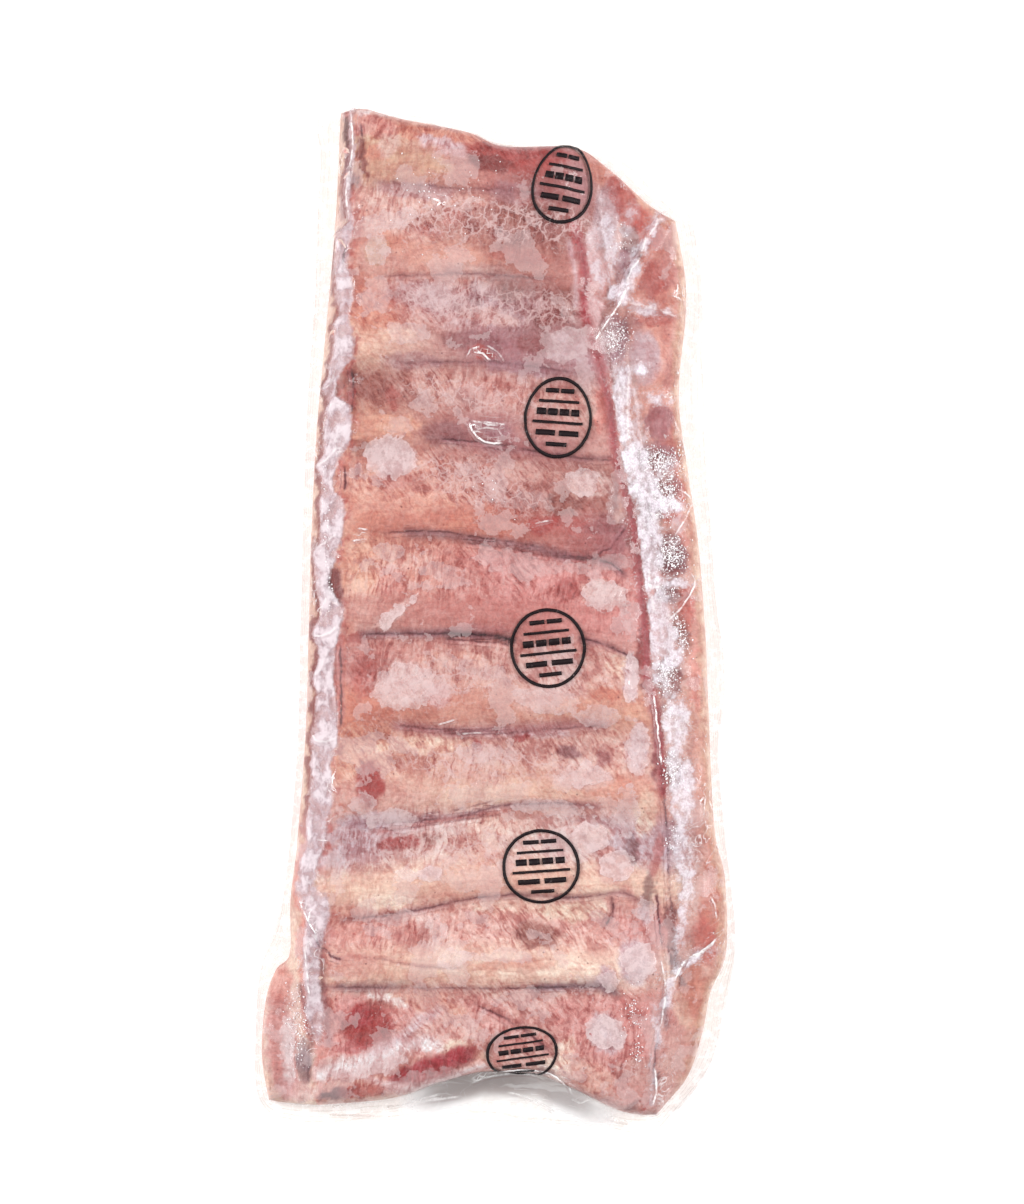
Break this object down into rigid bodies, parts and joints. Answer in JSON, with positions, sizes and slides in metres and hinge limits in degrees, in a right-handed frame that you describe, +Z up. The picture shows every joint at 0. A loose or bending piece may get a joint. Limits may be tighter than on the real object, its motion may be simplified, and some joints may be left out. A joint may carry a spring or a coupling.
{
  "type": "rack of spareribs in a vacuum bag",
  "caption": "Raw rack of pork spareribs, bone side up, in a clear skin-tight vacuum bag: ridged ribs with sawn ends, a seam and a cartilage flap, and a flat hem of film",
  "frame": {"origin": "the middle of the pack's footprint, on the flat underside of the bag", "axes": "+Z up, out of the bone side; +Y along the rack's length, towards its narrow end; +X across it, from the sawn side to the cartilage side"},
  "size_m": [0.1716, 0.3683, 0.025],
  "materials": {
    "film": "clear vacuum film, glossy, with fine wrinkles and a milky frost inside",
    "meat": "raw pork, moist, dark red to pale pink, with white fat and striated fibres",
    "bone": "rib bone under a thin pale membrane, pinkish tan to cream"
  },
  "bodies": {
    "root": {"film_bag": "film", "meat_slab": "meat", "rib_01": "bone", "rib_02": "bone", "rib_03": "bone", "rib_04": "bone", "rib_05": "bone", "rib_06": "bone", "rib_07": "bone", "rib_08": "bone", "rib_09": "bone", "rib_10": "bone"}
  },
  "joints": []
}
